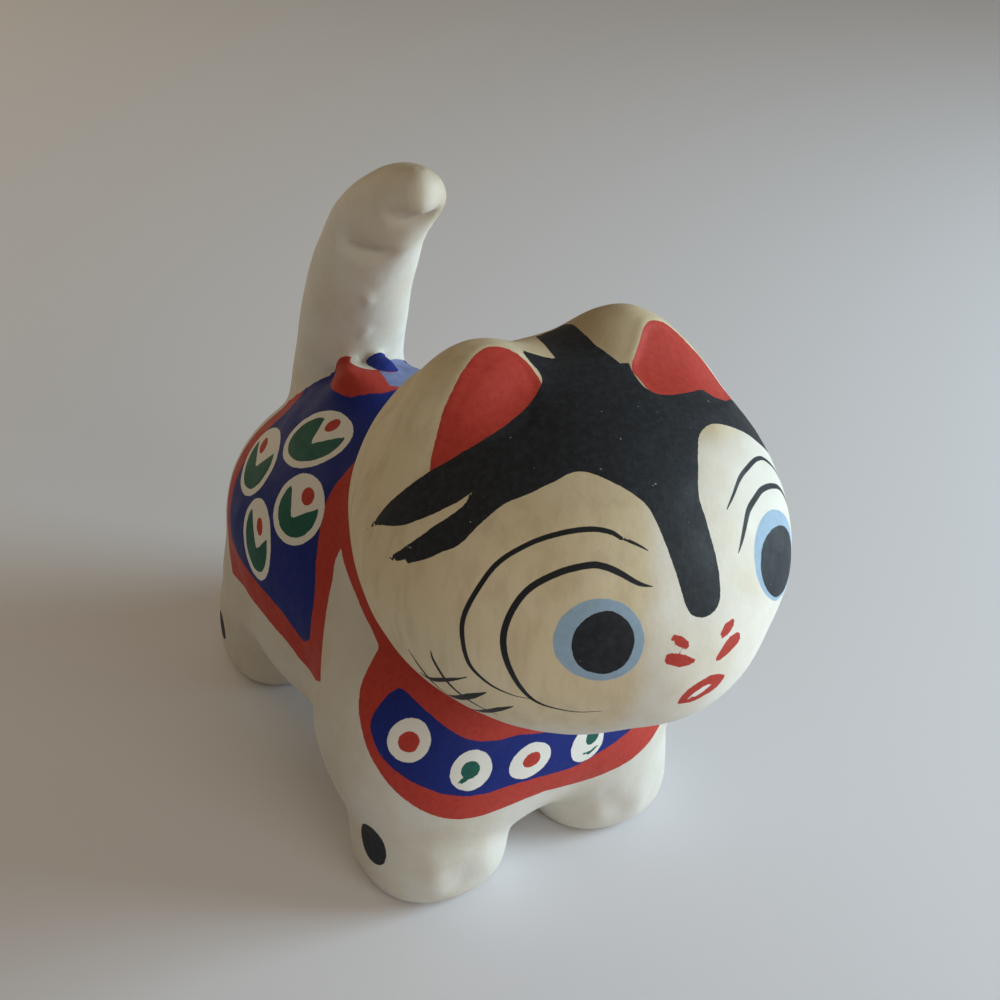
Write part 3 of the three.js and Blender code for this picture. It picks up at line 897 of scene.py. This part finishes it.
# ---- camera, floor and light ----
CAMERA_AZIMUTH = -0.573  # from straight ahead, rad
CAMERA_HEIGHT_ANGLE = 0.586  # over the horizon, rad
CAMERA_ROLL = 0.041
CAMERA_DISTANCE = 291.8
CAMERA_TARGET = np.array([11.2, FRONT + 79.0, GROUND + 60.06])
LENS, SENSOR = 52.2, 36
NEAREST_SEEN = 0.01  # m
FLOOR_HALF_WIDTH = 3.0  # m
FLOOR_COLOUR, FLOOR_ROUGHNESS = (0.79, 0.79, 0.84, 1), 0.6
LIT_HEIGHT = 55  # the lights are aimed at the figure's middle
LIGHTS = [  # name, place, width, watts, colour
    ("window", (575, -290, 250), 380, 4.35, (0.71, 0.90, 1.0)),
    ("far_window", (120, -760, 310), 520, 1.35, (1.0, 0.99, 0.95)),
    ("room", (-200, 700, 300), 600, 0.6, (1.0, 0.78, 0.48)),
    ("lamp", (-250, -400, 620), 500, 0.2, (1.0, 0.82, 0.55)),
]
AIR_COLOUR, AIR_STRENGTH = (1.0, 0.84, 0.63, 1), 0.2


def add_camera():
    az, el = CAMERA_AZIMUTH, CAMERA_HEIGHT_ANGLE
    back = Vector((math.sin(az) * math.cos(el), -math.cos(az) * math.cos(el), math.sin(el)))
    right = Vector((math.cos(az), math.sin(az), 0))
    up = back.cross(right)
    rolled_right = right * math.cos(CAMERA_ROLL) + up * math.sin(CAMERA_ROLL)
    rolled_up = up * math.cos(CAMERA_ROLL) - right * math.sin(CAMERA_ROLL)
    turn = Matrix((rolled_right, rolled_up, back)).transposed().to_4x4()
    data = bpy.data.cameras.new("camera")
    data.lens, data.sensor_width, data.clip_start = LENS, SENSOR, NEAREST_SEEN
    camera = bpy.data.objects.new("camera", data)
    camera.matrix_world = Matrix.Translation((Vector(CAMERA_TARGET) + back * CAMERA_DISTANCE) * MM) @ turn
    bpy.context.scene.collection.objects.link(camera)
    bpy.context.scene.camera = camera


def add_floor():
    mesh = bpy.data.meshes.new("floor")
    signs = ((-1, -1), (1, -1), (1, 1), (-1, 1))
    corners = [(x * FLOOR_HALF_WIDTH, y * FLOOR_HALF_WIDTH, GROUND * MM) for x, y in signs]
    mesh.from_pydata(corners, [], [(0, 1, 2, 3)])
    floor = bpy.data.objects.new("floor", mesh)
    bpy.context.scene.collection.objects.link(floor)
    material = bpy.data.materials.new("floor")
    n = Nodes(material)
    n.shader.inputs["Base Color"].default_value = FLOOR_COLOUR
    n.shader.inputs["Roughness"].default_value = FLOOR_ROUGHNESS
    mesh.materials.append(material)


def add_light(name, place, width, watts, colour):
    """A round soft light that faces the figure."""
    data = bpy.data.lights.new(name, "AREA")
    data.shape, data.size, data.energy, data.color = "DISK", width * MM, watts, colour
    light = bpy.data.objects.new(name, data)
    light.location = Vector(place) * MM
    to_figure = Vector((0, 0, GROUND + LIT_HEIGHT)) - Vector(place)
    light.rotation_euler = to_figure.to_track_quat("-Z", "Y").to_euler()
    bpy.context.scene.collection.objects.link(light)


def add_lights():
    for row in LIGHTS:
        add_light(*row)
    world = bpy.data.worlds.new("room")
    world.use_nodes = True
    background = world.node_tree.nodes["Background"]
    background.inputs["Color"].default_value = AIR_COLOUR
    background.inputs["Strength"].default_value = AIR_STRENGTH
    bpy.context.scene.world = world
    bpy.context.scene.view_settings.view_transform = "Standard"


cat = build_shell()
cat.data.materials.append(painted_finish())
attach(cat, "root")
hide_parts(NODE)
add_camera()
add_floor()
add_lights()
